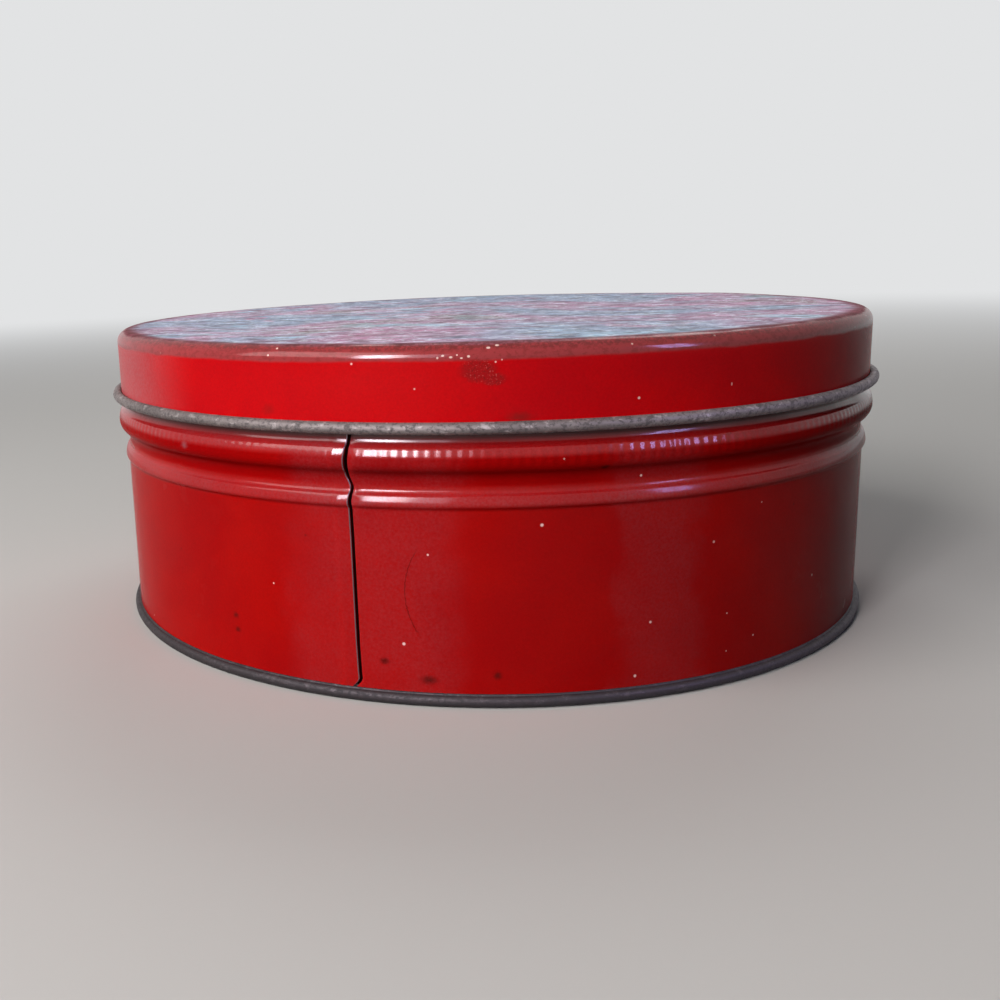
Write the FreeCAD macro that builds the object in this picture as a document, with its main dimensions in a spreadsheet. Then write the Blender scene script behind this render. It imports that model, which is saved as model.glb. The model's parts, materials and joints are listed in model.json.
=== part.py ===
import FreeCAD, Part
import math
import os

import Sketcher

# Round sheet-metal tin with a slip-on lid, shut.  Millimetres, +Z up, the origin on the
# tin's axis at the level it stands on.  Three pieces, each one solid:
#   base_end  the bottom end with its recessed panel and folded rim, which is the foot
#   body      the drawn wall with two rolled beads, filled, because the tin is shut
#   lid       the pressed sheet lid: flat top, round shoulder, skirt, and a curl at its hem

SIZES = [
    # alias, value, what it is
    ("sheet", "0.3", "thickness of the sheet metal"),
    ("base_height", "3.2", "top of the base panel, where the body starts"),
    ("rim_radius", "100.05", "outside of the folded base rim"),
    ("rim_inner", "97.0", "inside of the folded base rim"),
    ("rim_top", "2.85", "top of the rim, outside its lip"),
    ("rim_round", "0.75", "rounding of the rim's outer corners"),
    ("rim_turn", "0.7", "rounding where the rim turns under the panel"),
    ("rim_lip", "0.5", "width of the lip that grips the wall"),
    ("rim_lip_top", "3.45", "height that the lip reaches on the wall"),
    ("wall_radius", "98.5", "outside of the plain wall"),
    ("low_start", "40.3", "where the lower bead leaves the wall"),
    ("low_radius", "99.25", "crest of the lower bead"),
    ("low_crest_from", "43.2", "lower edge of that crest"),
    ("low_crest_to", "43.9", "upper edge of that crest"),
    ("valley_radius", "97.95", "bottom of the valley between the beads"),
    ("valley_z", "47.1", "height of the valley"),
    ("top_radius", "100.35", "crest of the upper bead"),
    ("top_crest_from", "51.2", "lower edge of that crest"),
    ("top_crest_to", "53.9", "upper edge of that crest"),
    ("neck_radius", "98.5", "neck that the lid slips over"),
    ("neck_start", "56.7", "where the upper bead meets the neck"),
    ("neck_round", "3.2", "rounding at the top of the neck"),
    ("seam_turn", "-15.9", "degrees from the front to the side seam"),
    ("seam_gap", "0.6", "width of the open line along the seam"),
    ("seam_floor", "97.45", "distance from the axis to the bottom of that line"),
    ("seam_knee", "5.0", "height where the line turns aside"),
    ("seam_run", "1.6", "how far aside it is at the base rim"),
    ("lid_top", "75.5", "overall height"),
    ("lid_radius", "99.3", "outside of the lid's skirt"),
    ("lid_shoulder", "3.0", "outer rounding of the lid's shoulder"),
    ("curl_z", "58.8", "height of the middle of the curl"),
    ("curl_radius", "1.25", "outer radius of the curl's tube"),
    ("curl_end", "125", "degrees at which the curl's edge stops"),
]


def make_sheet(doc):
    """Write the driving sizes into a spreadsheet, one alias a row."""
    sheet = doc.addObject("Spreadsheet::Sheet", "Sizes")
    for row, (alias, value, note) in enumerate(SIZES, start=1):
        sheet.set("A%d" % row, value)
        sheet.setAlias("A%d" % row, alias)
        sheet.set("B%d" % row, note)
    doc.recompute()
    return sheet


def origin_plane(body, role):
    """The body's own origin plane of that role, such as XZ_Plane."""
    return next(f for f in body.Origin.OriginFeatures if f.Role == role)


class Outline:
    """A closed sketch drawn from one named point to the next.

    Every point is held by two distances from the sketch's origin, and every arc by its
    two ends and its radius, so that the spreadsheet drives all of it.
    """

    def __init__(self, body, name, offset=None):
        self.sketch = body.newObject("Sketcher::SketchObject", name)
        self.sketch.AttachmentSupport = [(origin_plane(body, "XZ_Plane"), "")]
        self.sketch.MapMode = "FlatFace"
        if offset:
            self.sketch.setExpression("AttachmentOffset.Base.z", offset)
        self.first = None
        self.last = None
        self.here = None
        self.pen = None

    def value(self, expression):
        return float(self.sketch.evalExpression(expression))

    def hold(self, geometry, end, point):
        """Fix one end of a line or arc at a point given by two expressions."""
        for kind, expression in (("DistanceX", point[0]), ("DistanceY", point[1])):
            number = self.value(expression)
            index = self.sketch.addConstraint(
                Sketcher.Constraint(kind, -1, 1, geometry, end, number))
            self.sketch.setExpression("Constraints[%d]" % index, expression)

    def join(self, geometry, start_end, finish_end, point):
        """Tie a new piece to the one before it, and fix where it stops."""
        if self.last is None:
            self.hold(geometry, start_end, self.here)
            self.first = (geometry, start_end)
        else:
            self.sketch.addConstraint(
                Sketcher.Constraint("Coincident", self.last[0], self.last[1],
                                    geometry, start_end))
        if point == self.pen:
            self.sketch.addConstraint(
                Sketcher.Constraint("Coincident", geometry, finish_end,
                                    self.first[0], self.first[1]))
        else:
            self.hold(geometry, finish_end, point)
        self.last = (geometry, finish_end)
        self.here = point

    def start(self, x, y):
        self.here = self.pen = (x, y)

    def line(self, x, y):
        a = FreeCAD.Vector(self.value(self.here[0]), self.value(self.here[1]), 0)
        b = FreeCAD.Vector(self.value(x), self.value(y), 0)
        index = self.sketch.addGeometry(Part.LineSegment(a, b), False)
        self.join(index, 1, 2, (x, y))

    def close(self):
        self.line(*self.pen)

    def arc(self, x, y, radius, left=True, long_way=False):
        """An arc to (x, y) that bends to the left or to the right."""
        ax, ay = self.value(self.here[0]), self.value(self.here[1])
        bx, by = self.value(x), self.value(y)
        size = self.value(radius)
        chord = math.hypot(bx - ax, by - ay)
        rise = math.sqrt(max(size * size - chord * chord / 4, 0))
        side = (1 if left else -1) * (-1 if long_way else 1)
        cx = (ax + bx) / 2 - side * rise * (by - ay) / chord
        cy = (ay + by) / 2 + side * rise * (bx - ax) / chord
        begin = math.atan2(ay - cy, ax - cx)
        end = math.atan2(by - cy, bx - cx)
        circle = Part.Circle(FreeCAD.Vector(cx, cy, 0), FreeCAD.Vector(0, 0, 1), size)
        ends = (1, 2) if left else (2, 1)
        if not left:
            begin, end = end, begin
        index = self.sketch.addGeometry(Part.ArcOfCircle(circle, begin, end), False)
        held = self.sketch.addConstraint(Sketcher.Constraint("Radius", index, size))
        self.sketch.setExpression("Constraints[%d]" % held, radius)
        self.join(index, ends[0], ends[1], (x, y))

    def flank(self, x, y, left_first):
        """Two equal arcs, one bending each way, that leave and arrive upright."""
        dx = "(%s - (%s))" % (x, self.here[0])
        dy = "(%s - (%s))" % (y, self.here[1])
        middle = ("(%s + %s) / 2" % (self.here[0], x), "(%s + %s) / 2" % (self.here[1], y))
        radius = "(%s^2 + %s^2) / abs(4 * %s)" % (dx, dy, dx)
        self.arc(middle[0], middle[1], radius, left_first)
        self.arc(x, y, radius, not left_first)


def turn(body, sketch, name):
    """Revolve an outline a full turn about the tin's axis."""
    feature = body.newObject("PartDesign::Revolution", name)
    feature.Profile = sketch
    feature.ReferenceAxis = (sketch, ["V_Axis"])
    feature.Angle = 360
    sketch.Visibility = False
    return feature


def make_base_end(doc):
    """The bottom end: panel, turned-down wall, flat foot, rounded rim and lip."""
    body = doc.addObject("PartDesign::Body", "base_end")
    body.Label = "base_end"
    under = "Sizes.base_height - Sizes.sheet"
    outline = Outline(body, "EndOutline")
    outline.start("0", under)
    outline.line("Sizes.rim_inner - Sizes.rim_turn", under)
    outline.arc("Sizes.rim_inner", under + " - Sizes.rim_turn", "Sizes.rim_turn", left=False)
    outline.line("Sizes.rim_inner", "Sizes.rim_turn")
    outline.arc("Sizes.rim_inner + Sizes.rim_turn", "0", "Sizes.rim_turn")
    outline.line("Sizes.rim_radius - Sizes.rim_round", "0")
    outline.arc("Sizes.rim_radius", "Sizes.rim_round", "Sizes.rim_round")
    outline.line("Sizes.rim_radius", "Sizes.rim_top - Sizes.rim_round")
    outline.arc("Sizes.rim_radius - Sizes.rim_round", "Sizes.rim_top", "Sizes.rim_round")
    outline.line("Sizes.wall_radius + Sizes.rim_lip", "Sizes.rim_top")
    outline.line("Sizes.wall_radius + Sizes.rim_lip", "Sizes.rim_lip_top - Sizes.rim_lip")
    outline.arc("Sizes.wall_radius", "Sizes.rim_lip_top", "Sizes.rim_lip")
    outline.line("Sizes.wall_radius", "Sizes.base_height")
    outline.line("0", "Sizes.base_height")
    outline.close()
    turn(body, outline.sketch, "EndTurned")
    return body


def make_body(doc):
    """The wall with its two beads and its side seam, solid to the lid's underside."""
    body = doc.addObject("PartDesign::Body", "body")
    body.Label = "body"
    top = "Sizes.lid_top - Sizes.sheet"
    outline = Outline(body, "WallOutline")
    outline.start("0", "Sizes.base_height")
    outline.line("Sizes.wall_radius", "Sizes.base_height")
    outline.line("Sizes.wall_radius", "Sizes.low_start")
    outline.flank("Sizes.low_radius", "Sizes.low_crest_from", left_first=False)
    outline.line("Sizes.low_radius", "Sizes.low_crest_to")
    outline.flank("Sizes.valley_radius", "Sizes.valley_z", left_first=True)
    outline.flank("Sizes.top_radius", "Sizes.top_crest_from", left_first=False)
    outline.line("Sizes.top_radius", "Sizes.top_crest_to")
    outline.flank("Sizes.neck_radius", "Sizes.neck_start", left_first=True)
    outline.line("Sizes.neck_radius", top + " - Sizes.neck_round")
    outline.arc("Sizes.neck_radius - Sizes.neck_round", top, "Sizes.neck_round")
    outline.line("0", top)
    outline.close()
    turn(body, outline.sketch, "WallTurned")

    seam = Outline(body, "SeamOutline", offset="Sizes.seam_floor")
    half = "Sizes.seam_gap / 2"
    seam.start("-" + half, "Sizes.lid_top")
    seam.line("-" + half, "Sizes.seam_knee")
    seam.line("-Sizes.seam_run - " + half, "Sizes.base_height - Sizes.sheet")
    seam.line("-Sizes.seam_run + " + half, "Sizes.base_height - Sizes.sheet")
    seam.line(half, "Sizes.seam_knee")
    seam.line(half, "Sizes.lid_top")
    seam.close()
    cut = body.newObject("PartDesign::Pocket", "SeamLine")
    cut.Profile = seam.sketch
    cut.setExpression("Length", "Sizes.rim_radius - Sizes.seam_floor + 1")
    cut.Reversed = True
    seam.sketch.Visibility = False
    body.setExpression("Placement.Rotation.Angle", "Sizes.seam_turn")
    return body


def make_lid(doc):
    """The lid as one pressed sheet: top, shoulder, skirt, and the hem rolled outwards."""
    body = doc.addObject("PartDesign::Body", "lid")
    body.Label = "lid"
    inside = "Sizes.lid_radius - Sizes.sheet"
    flat = "Sizes.lid_radius - Sizes.lid_shoulder"
    spring = "Sizes.lid_top - Sizes.lid_shoulder"
    centre = "(Sizes.lid_radius - Sizes.sheet + Sizes.curl_radius)"
    bore = "(Sizes.curl_radius - Sizes.sheet)"
    reach = " * cos(Sizes.curl_end * 1 deg)"
    rise = " * sin(Sizes.curl_end * 1 deg)"
    outline = Outline(body, "LidOutline")
    outline.start("0", "Sizes.lid_top - Sizes.sheet")
    outline.line(flat, "Sizes.lid_top - Sizes.sheet")
    outline.arc(inside, spring, "Sizes.lid_shoulder - Sizes.sheet", left=False)
    outline.line(inside, "Sizes.curl_z")
    outline.arc(centre + " + Sizes.curl_radius" + reach, "Sizes.curl_z + Sizes.curl_radius" + rise,
                "Sizes.curl_radius", long_way=True)
    outline.line(centre + " + " + bore + reach, "Sizes.curl_z + " + bore + rise)
    outline.arc("Sizes.lid_radius", "Sizes.curl_z", bore, left=False, long_way=True)
    outline.line("Sizes.lid_radius", spring)
    outline.arc(flat, "Sizes.lid_top", "Sizes.lid_shoulder")
    outline.line("0", "Sizes.lid_top")
    outline.close()
    turn(body, outline.sketch, "LidTurned")
    return body


def main():
    doc = FreeCAD.newDocument("Tin")
    make_sheet(doc)
    pieces = [make_base_end(doc), make_body(doc), make_lid(doc)]
    doc.recompute()
    for item in doc.Objects:
        if "Invalid" in item.State or "Error" in item.State:
            raise RuntimeError("%s did not compute: %s" % (item.Name, item.State))
    for piece in pieces:
        shape = piece.Shape
        if shape.isNull() or not shape.isValid() or len(shape.Solids) != 1:
            raise RuntimeError("%s isn't one sound solid" % piece.Label)
    uncut = doc.getObject("WallTurned").Shape.Volume
    if not doc.getObject("SeamLine").Shape.Volume < uncut:
        raise RuntimeError("the seam line cut nothing")
    os.makedirs("parts", exist_ok=True)
    for piece in pieces:
        piece.Shape.exportStep("parts/%s.step" % piece.Label)
        box = piece.Shape.optimalBoundingBox()
        print("%-9s %8.2f x %8.2f x %8.2f mm from z %6.2f, %12.1f mm3" % (
            piece.Label, box.XLength, box.YLength, box.ZLength, box.ZMin, piece.Shape.Volume))


main()
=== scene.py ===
import json
import logging
import math
from dataclasses import dataclass, field
from enum import Enum

import bmesh
import bpy
from mathutils import Matrix, Vector, noise


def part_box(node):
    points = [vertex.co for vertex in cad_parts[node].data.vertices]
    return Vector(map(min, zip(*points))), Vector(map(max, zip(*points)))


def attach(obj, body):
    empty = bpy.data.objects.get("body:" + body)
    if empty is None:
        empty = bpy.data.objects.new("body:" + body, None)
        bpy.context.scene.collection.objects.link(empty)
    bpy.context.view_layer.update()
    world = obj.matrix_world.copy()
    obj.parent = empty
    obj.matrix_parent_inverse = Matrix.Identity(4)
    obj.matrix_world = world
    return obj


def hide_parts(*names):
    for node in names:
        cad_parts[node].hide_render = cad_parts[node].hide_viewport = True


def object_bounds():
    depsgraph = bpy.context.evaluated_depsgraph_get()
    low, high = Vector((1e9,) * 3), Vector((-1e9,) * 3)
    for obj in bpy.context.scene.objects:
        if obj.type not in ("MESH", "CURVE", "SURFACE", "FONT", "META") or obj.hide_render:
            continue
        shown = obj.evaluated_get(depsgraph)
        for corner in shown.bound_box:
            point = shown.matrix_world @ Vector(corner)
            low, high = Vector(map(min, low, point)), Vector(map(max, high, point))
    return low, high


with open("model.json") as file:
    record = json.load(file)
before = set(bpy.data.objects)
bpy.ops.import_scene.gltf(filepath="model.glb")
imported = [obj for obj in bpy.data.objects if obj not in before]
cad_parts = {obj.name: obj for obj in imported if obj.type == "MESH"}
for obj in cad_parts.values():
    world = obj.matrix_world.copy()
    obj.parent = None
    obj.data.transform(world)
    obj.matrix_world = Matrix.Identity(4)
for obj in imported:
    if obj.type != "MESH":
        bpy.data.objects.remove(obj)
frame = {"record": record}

CAD_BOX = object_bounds()

log = logging.getLogger("tin")

# a millimetre, and the wall's radius in millimetres
MM = 0.001
WALL = 98.5

Colour = tuple[float, float, float]
Table = tuple[tuple[float, float], ...]
Band = tuple[float, float, float, float]
Socket = bpy.types.NodeSocket
Sockets = dict[str, Socket]


def paint(red: int, green: int, blue: int) -> Colour:
    """Turn a paint-chart colour into the linear one that shaders take.

    Args:
        red: Red, from 0 to 255.
        green: Green, from 0 to 255.
        blue: Blue, from 0 to 255.

    Returns:
        The same colour as linear red, green and blue.
    """
    def linear(level: int) -> float:
        """One channel, from display to linear."""
        part = level / 255
        return part / 12.92 if part <= 0.04045 else ((part + 0.055) / 1.055) ** 2.4

    return (linear(red), linear(green), linear(blue))


def blend(table: Table, at: float) -> float:
    """Read a value off a short table, evenly between its rows.

    Args:
        table: Pairs of place and value, in rising order of place.
        at: The place to read.

    Returns:
        The value there, held level past both ends.
    """
    if at <= table[0][0]:
        return table[0][1]
    for (a, low), (b, high) in zip(table, table[1:]):
        if at <= b:
            return low + (high - low) * (at - a) / (b - a)
    return table[-1][1]


def ease(low: float, high: float, at: float) -> float:
    """A smooth step from 0 at low to 1 at high."""
    part = min(1.0, max(0.0, (at - low) / (high - low)))
    return part * part * (3 - 2 * part)


def away_from_axis(place: Vector) -> float:
    """How far out a place lies, in millimetres."""
    return math.hypot(place.x, place.y) / MM


def azimuth_of(place: Vector) -> float:
    """The direction of a place from the axis, in degrees from +X."""
    return math.degrees(math.atan2(place.y, place.x))


def widen(vert: bmesh.types.BMVert, share: float) -> None:
    """Move a point out from the axis, or in, to a share of its distance."""
    vert.co.x *= share
    vert.co.y *= share


# ---------------------------------------------------------------- turned sheet metal


@dataclass
class Outline:
    """A half section of a turned piece, in millimetres from the axis and the floor."""

    points: list[tuple[float, float]] = field(default_factory=list)

    def to(self, radius: float, height: float, rows: int = 1) -> "Outline":
        """Run straight to a point.

        Args:
            radius: Distance of the new point from the axis.
            height: Height of the new point.
            rows: How many equal lengths the run is divided into.

        Returns:
            This outline, so that calls can be chained.
        """
        if not self.points:
            self.points.append((radius, height))
            return self
        r0, z0 = self.points[-1]
        for i in range(1, rows + 1):
            part = i / rows
            self.points.append((r0 + (radius - r0) * part, z0 + (height - z0) * part))
        return self

    def arc(self, centre: tuple[float, float], start: float, end: float,
            rows: int) -> "Outline":
        """Run along an arc from the last point.

        Args:
            centre: The arc's middle, as radius and height.
            start: Direction of the last point from the middle, in degrees.
            end: Direction of the arc's end from the middle, in degrees.
            rows: How many lengths the arc is divided into.

        Returns:
            This outline.
        """
        r0, z0 = self.points[-1]
        size = math.hypot(r0 - centre[0], z0 - centre[1])
        for i in range(1, rows + 1):
            turn = math.radians(start + (end - start) * i / rows)
            self.points.append((centre[0] + size * math.cos(turn),
                                centre[1] + size * math.sin(turn)))
        return self

    def flank(self, radius: float, height: float, rows: int) -> "Outline":
        """Run up to a bead's crest or down from it, in two equal arcs that meet halfway.

        Args:
            radius: Distance of the flank's end from the axis.
            height: Height of the flank's end.
            rows: How many lengths each of the two arcs has.

        Returns:
            This outline.
        """
        r0, z0 = self.points[-1]
        out, up = radius - r0, height - z0
        size = (up * up + out * out) / (4 * abs(out))
        lean = 2 * math.atan2(abs(out), up)
        side = math.copysign(1.0, out)
        for i in range(1, 2 * rows + 1):
            turn = lean * min(i, 2 * rows - i) / rows
            over, along = side * size * (1 - math.cos(turn)), size * math.sin(turn)
            self.points.append((r0 + over, z0 + along) if i <= rows
                               else (radius - over, height - along))
        return self

    def bend(self, size: float, start: float, end: float, rows: int) -> "Outline":
        """Carry on along an arc, given by where its outer side faces.

        Args:
            size: The arc's radius, negative where it is hollow.
            start: Degrees above level that the outer side faces at the last point.
            end: The same at the arc's end.
            rows: How many lengths the arc is divided into.

        Returns:
            This outline.
        """
        r0, z0 = self.points[-1]
        first = math.radians(start)
        for i in range(1, rows + 1):
            turn = math.radians(start + (end - start) * i / rows)
            self.points.append((r0 + size * (math.cos(turn) - math.cos(first)),
                                z0 + size * (math.sin(turn) - math.sin(first))))
        return self

    def fall(self, radius: float, turn: float, crown: float, edge: float, hollow: float,
             steep: float) -> "Outline":
        """Go up from a bead's crest to the wall behind it: crown, edge, slope and hollow.

        Args:
            radius: Distance from the axis of the wall behind.
            turn: Radius of the crest itself.
            crown: Radius of the wide round above it.
            edge: Radius of the tighter round past it.
            hollow: Radius of the hollow at the end.
            steep: Degrees above level that the slope between them faces.

        Returns:
            This outline.
        """
        self.bend(turn, 0, 9, 2).bend(crown, 9, 19, 5).bend(edge, 19, steep, 4)
        r, z = self.points[-1]
        foot = radius + hollow * (1 - math.cos(math.radians(steep)))
        self.to(foot, z + (r - foot) / math.tan(math.radians(steep)), 2)
        return self.bend(-hollow, steep, 0, 6)


def lathe(outline: Outline, stops: list[tuple[float, int]], start: float) -> bmesh.types.BMesh:
    """Turn an outline once round the tin's axis.

    Args:
        outline: The half section.
        stops: Sweeps to make one after the other, each as degrees and steps.
        start: Azimuth of the first section, in degrees.

    Returns:
        The closed shape, in metres, with its faces outwards.
    """
    bm = bmesh.new()
    scrap = bpy.data.meshes.new("sweep")
    for degrees, steps in stops:
        doublings = max(n for n in range(8) if steps % 2 ** n == 0)
        sector = bmesh.new()
        place = Matrix.Rotation(math.radians(start), 3, "Z")
        ring = [sector.verts.new(place @ Vector((r * MM, 0, z * MM))) for r, z in outline.points]
        line = [sector.edges.new(pair) for pair in zip(ring, ring[1:])]
        bmesh.ops.spin(sector, geom=[*ring, *line], cent=(0, 0, 0), axis=(0, 0, 1),
                       angle=math.radians(degrees / 2 ** doublings), steps=steps >> doublings)
        for left in range(doublings, 0, -1):
            whole = [*sector.verts, *sector.edges, *sector.faces]
            twin = bmesh.ops.duplicate(sector, geom=whole)["geom"]
            further = Matrix.Rotation(math.radians(degrees / 2 ** left), 3, "Z")
            bmesh.ops.rotate(sector, verts=[v for v in twin if isinstance(v, bmesh.types.BMVert)],
                             cent=(0, 0, 0), matrix=further)
        sector.to_mesh(scrap)
        sector.free()
        bm.from_mesh(scrap)
        start += degrees
    bpy.data.meshes.remove(scrap)
    bmesh.ops.remove_doubles(bm, verts=bm.verts, dist=0.004 * MM)
    bmesh.ops.recalc_face_normals(bm, faces=bm.faces)
    return bm


def finish_piece(bm: bmesh.types.BMesh, name: str, node: str,
                 materials: list[bpy.types.Material], crease: float) -> bpy.types.Object:
    """Make an object of a finished shape and hang it on the frame.

    Args:
        bm: The shape, in metres, in the tin's own frame. It is freed here.
        name: The piece's name.
        node: The CAD node that it stands for.
        materials: Its materials, in the order that its faces number them.
        crease: Angle in degrees past which an edge stays sharp.

    Returns:
        The object.
    """
    mesh = bpy.data.meshes.new(name)
    bm.to_mesh(mesh)
    bm.free()
    for material in materials:
        mesh.materials.append(material)
    mesh.shade_smooth()
    mesh.set_sharp_from_angle(angle=math.radians(crease))
    piece = bpy.data.objects.new(name, mesh)
    bpy.context.scene.collection.objects.link(piece)
    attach(piece, "root")
    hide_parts(node)
    log.info("%s: %d faces for node %s", name, len(mesh.polygons), node)
    return piece


def ripple(point: Vector, scale: float, seed: float) -> float:
    """Smooth unevenness between -1 and 1 at a point.

    Args:
        point: The point, in metres.
        scale: Waves to the metre.
        seed: Moves the pattern, so that pieces differ.

    Returns:
        The height of the wave there.
    """
    return noise.noise(point * scale + Vector((seed, 3 * seed, 7 * seed)))


# ---------------------------------------------------------------- node wiring


@dataclass
class Wiring:
    """Adds nodes to one tree and joins them."""

    tree: bpy.types.NodeTree

    def add(self, kind: str, inputs: dict[str | int, object] | None = None,
            **settings: object) -> bpy.types.Node:
        """Add a node.

        Args:
            kind: The node's type, without the ShaderNode in front.
            inputs: Values or sockets for its inputs, by name or number.
            **settings: The node's own properties.

        Returns:
            The node.
        """
        node = self.tree.nodes.new("ShaderNode" + kind)
        for key, value in settings.items():
            setattr(node, key, value)
        for key, value in (inputs or {}).items():
            self.feed(node.inputs[key], value)
        return node

    def feed(self, target: Socket, value: object) -> None:
        """Link a socket to an input, or set the input to a plain value."""
        if isinstance(value, Socket):
            self.tree.links.new(value, target)
        elif isinstance(value, tuple) and len(value) == 3 and target.type == "RGBA":
            target.default_value = (*value, 1.0)
        else:
            target.default_value = value

    def math(self, operation: str, *values: object) -> Socket:
        """One sum, as a Math node."""
        return self.add("Math", dict(enumerate(values)), operation=operation).outputs[0]

    def times(self, whole: object, *others: object) -> Socket:
        """Several values multiplied together."""
        for value in others:
            whole = self.math("MULTIPLY", whole, value)
        return whole

    def scaled(self, value: Socket, factor: object, extra: object) -> Socket:
        """A value times a factor, plus an extra."""
        return self.math("MULTIPLY_ADD", value, factor, extra)

    def largest(self, whole: Socket, *others: Socket) -> Socket:
        """The largest of several masks."""
        for mask in others:
            whole = self.math("MAXIMUM", whole, mask)
        return whole

    def without(self, mask: Socket) -> Socket:
        """What a mask leaves out."""
        return self.math("SUBTRACT", 1.0, mask)

    def vector(self, operation: str, *values: object) -> Socket:
        """One sum on vectors, as a Vector Math node."""
        return self.add("VectorMath", dict(enumerate(values)), operation=operation).outputs[0]

    def length(self, vector: Socket) -> Socket:
        """How long a vector is."""
        return self.add("VectorMath", {0: vector}, operation="LENGTH").outputs["Value"]

    def shaded(self, colour: Socket, level: Socket) -> Socket:
        """A colour made lighter or darker by a level round 1."""
        grey = self.add("CombineXYZ", {0: level, 1: level, 2: level}).outputs[0]
        return self.mix(1.0, colour, grey, "MULTIPLY")

    def spread(self, value: Socket, low: object, high: object, start: float = 0.0,
               end: float = 1.0) -> Socket:
        """Map low to start and high to end, smoothly and held at both ends."""
        node = self.add("MapRange", {"Value": value, "From Min": low, "From Max": high,
                                     "To Min": start, "To Max": end},
                        interpolation_type="SMOOTHSTEP")
        return node.outputs["Result"]

    def within(self, value: Socket, band: Band) -> Socket:
        """A mask of a band: where it starts, is full, is last full and has ended."""
        return self.times(self.spread(value, band[0], band[1]),
                          self.spread(value, band[3], band[2]))

    def mix(self, share: object, under: object, over: object, how: str = "MIX") -> Socket:
        """Lay one colour over another.

        Args:
            share: How much of the upper colour shows, as a number or socket.
            under: The lower colour.
            over: The upper colour.
            how: The blend type.

        Returns:
            The mixed colour.
        """
        node = self.add("Mix", data_type="RGBA", blend_type=how)
        for index, value in ((0, share), (6, under), (7, over)):
            self.feed(node.inputs[index], value)
        return node.outputs[2]

    def coats(self, colour: object, *coats: tuple[object, object]) -> Socket:
        """Lay several colours over one, each given as how much of it shows and its colour."""
        for share, over in coats:
            colour = self.mix(share, colour, over)
        return colour

    def cloud(self, vector: Socket, scale: object, detail: float = 3.0,
              rough: float = 0.5, warp: float = 0.0) -> Socket:
        """Noise between about 0.3 and 0.7, as a value."""
        node = self.add("TexNoise", {"Vector": vector, "Scale": scale, "Detail": detail,
                                     "Roughness": rough, "Distortion": warp})
        return node.outputs[0]

    def veins(self, vector: Socket, scale: float, width: float, warp: float) -> Socket:
        """Thin wandering lines, where a cloud crosses its middle level."""
        level = self.cloud(vector, scale, 4.0, 0.6, warp)
        away = self.math("ABSOLUTE", self.math("SUBTRACT", level, 0.5))
        return self.spread(away, width, width * 0.25)

    def backdrop_rays(self) -> Socket:
        """Where the camera or a mirroring surface looks straight at the backdrop."""
        path = self.add("LightPath").outputs
        return self.largest(path["Is Camera Ray"], path["Is Glossy Ray"],
                            path["Is Transmission Ray"])


class Effect:
    """A shared effect, kept as a shader node group that is built once."""

    name: str
    inputs: dict[str, str]
    outputs: dict[str, str]

    def fill(self, w: Wiring, given: Sockets) -> Sockets:
        """Wire the group from its inputs to its outputs. Each effect has its own."""
        raise NotImplementedError

    def build(self) -> bpy.types.NodeTree:
        """Make the group."""
        tree = bpy.data.node_groups.new(self.name, "ShaderNodeTree")
        for way, sockets in (("INPUT", self.inputs), ("OUTPUT", self.outputs)):
            for name, kind in sockets.items():
                tree.interface.new_socket(name, in_out=way, socket_type="NodeSocket" + kind)
        source = tree.nodes.new("NodeGroupInput")
        sink = tree.nodes.new("NodeGroupOutput")
        w = Wiring(tree)
        given = {name: source.outputs[name] for name in self.inputs}
        for name, socket in self.fill(w, given).items():
            w.feed(sink.inputs[name], socket)
        return tree

    def place(self, w: Wiring, **values: object) -> Sockets:
        """Put the effect into a material, and make its group on first use.

        Args:
            w: The material's wiring.
            **values: Its inputs by name, with _ for a space.

        Returns:
            Its outputs by name.
        """
        node = w.tree.nodes.new("ShaderNodeGroup")
        node.node_tree = bpy.data.node_groups.get(self.name) or self.build()
        for key, value in values.items():
            w.feed(node.inputs[key.replace("_", " ")], value)
        return node.outputs


class RoundTheTin(Effect):
    """Gives how far round, up and out a point lies, in millimetres."""

    name = "Round the tin"
    inputs = {"Vector": "Vector"}
    outputs = {"Place": "Vector", "Round": "Float", "Height": "Float", "Out": "Float"}

    def fill(self, w: Wiring, given: Sockets) -> Sockets:
        """Round is measured on the wall from the front, to the right."""
        part = w.add("SeparateXYZ", {0: given["Vector"]}).outputs
        turn = w.math("ARCTAN2", part[0], w.times(part[1], -1.0))
        along = w.times(turn, WALL)
        up = w.times(part[2], 1 / MM)
        flat = w.add("CombineXYZ", {0: part[0], 1: part[1], 2: 0.0}).outputs[0]
        place = w.add("CombineXYZ", {0: along, 1: up, 2: 0.0}).outputs[0]
        return {"Place": place, "Round": along, "Height": up,
                "Out": w.times(w.length(flat), 1 / MM)}


class Mottle(Effect):
    """Uneven paint: broad cloudy patches with a fine grain over them."""

    name = "Mottle"
    inputs = {"Vector": "Vector", "Colour": "Color", "Patch colour": "Color",
              "Patches": "Float", "Grain": "Float", "Grain scale": "Float"}
    outputs = {"Colour": "Color", "Grain": "Float"}

    def fill(self, w: Wiring, given: Sockets) -> Sockets:
        """Patches shift the colour, and the grain makes it lighter and darker."""
        broad = w.cloud(given["Vector"], 26.0, 4.0, 0.6, 0.4)
        share = w.times(w.spread(broad, 0.4, 0.66), given["Patches"])
        colour = w.mix(share, given["Colour"], given["Patch colour"])
        fine = w.cloud(given["Vector"], given["Grain scale"], 4.0, 0.7)
        level = w.scaled(w.math("SUBTRACT", fine, 0.5), given["Grain"], 1.0)
        return {"Colour": w.shaded(colour, level), "Grain": fine}


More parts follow.
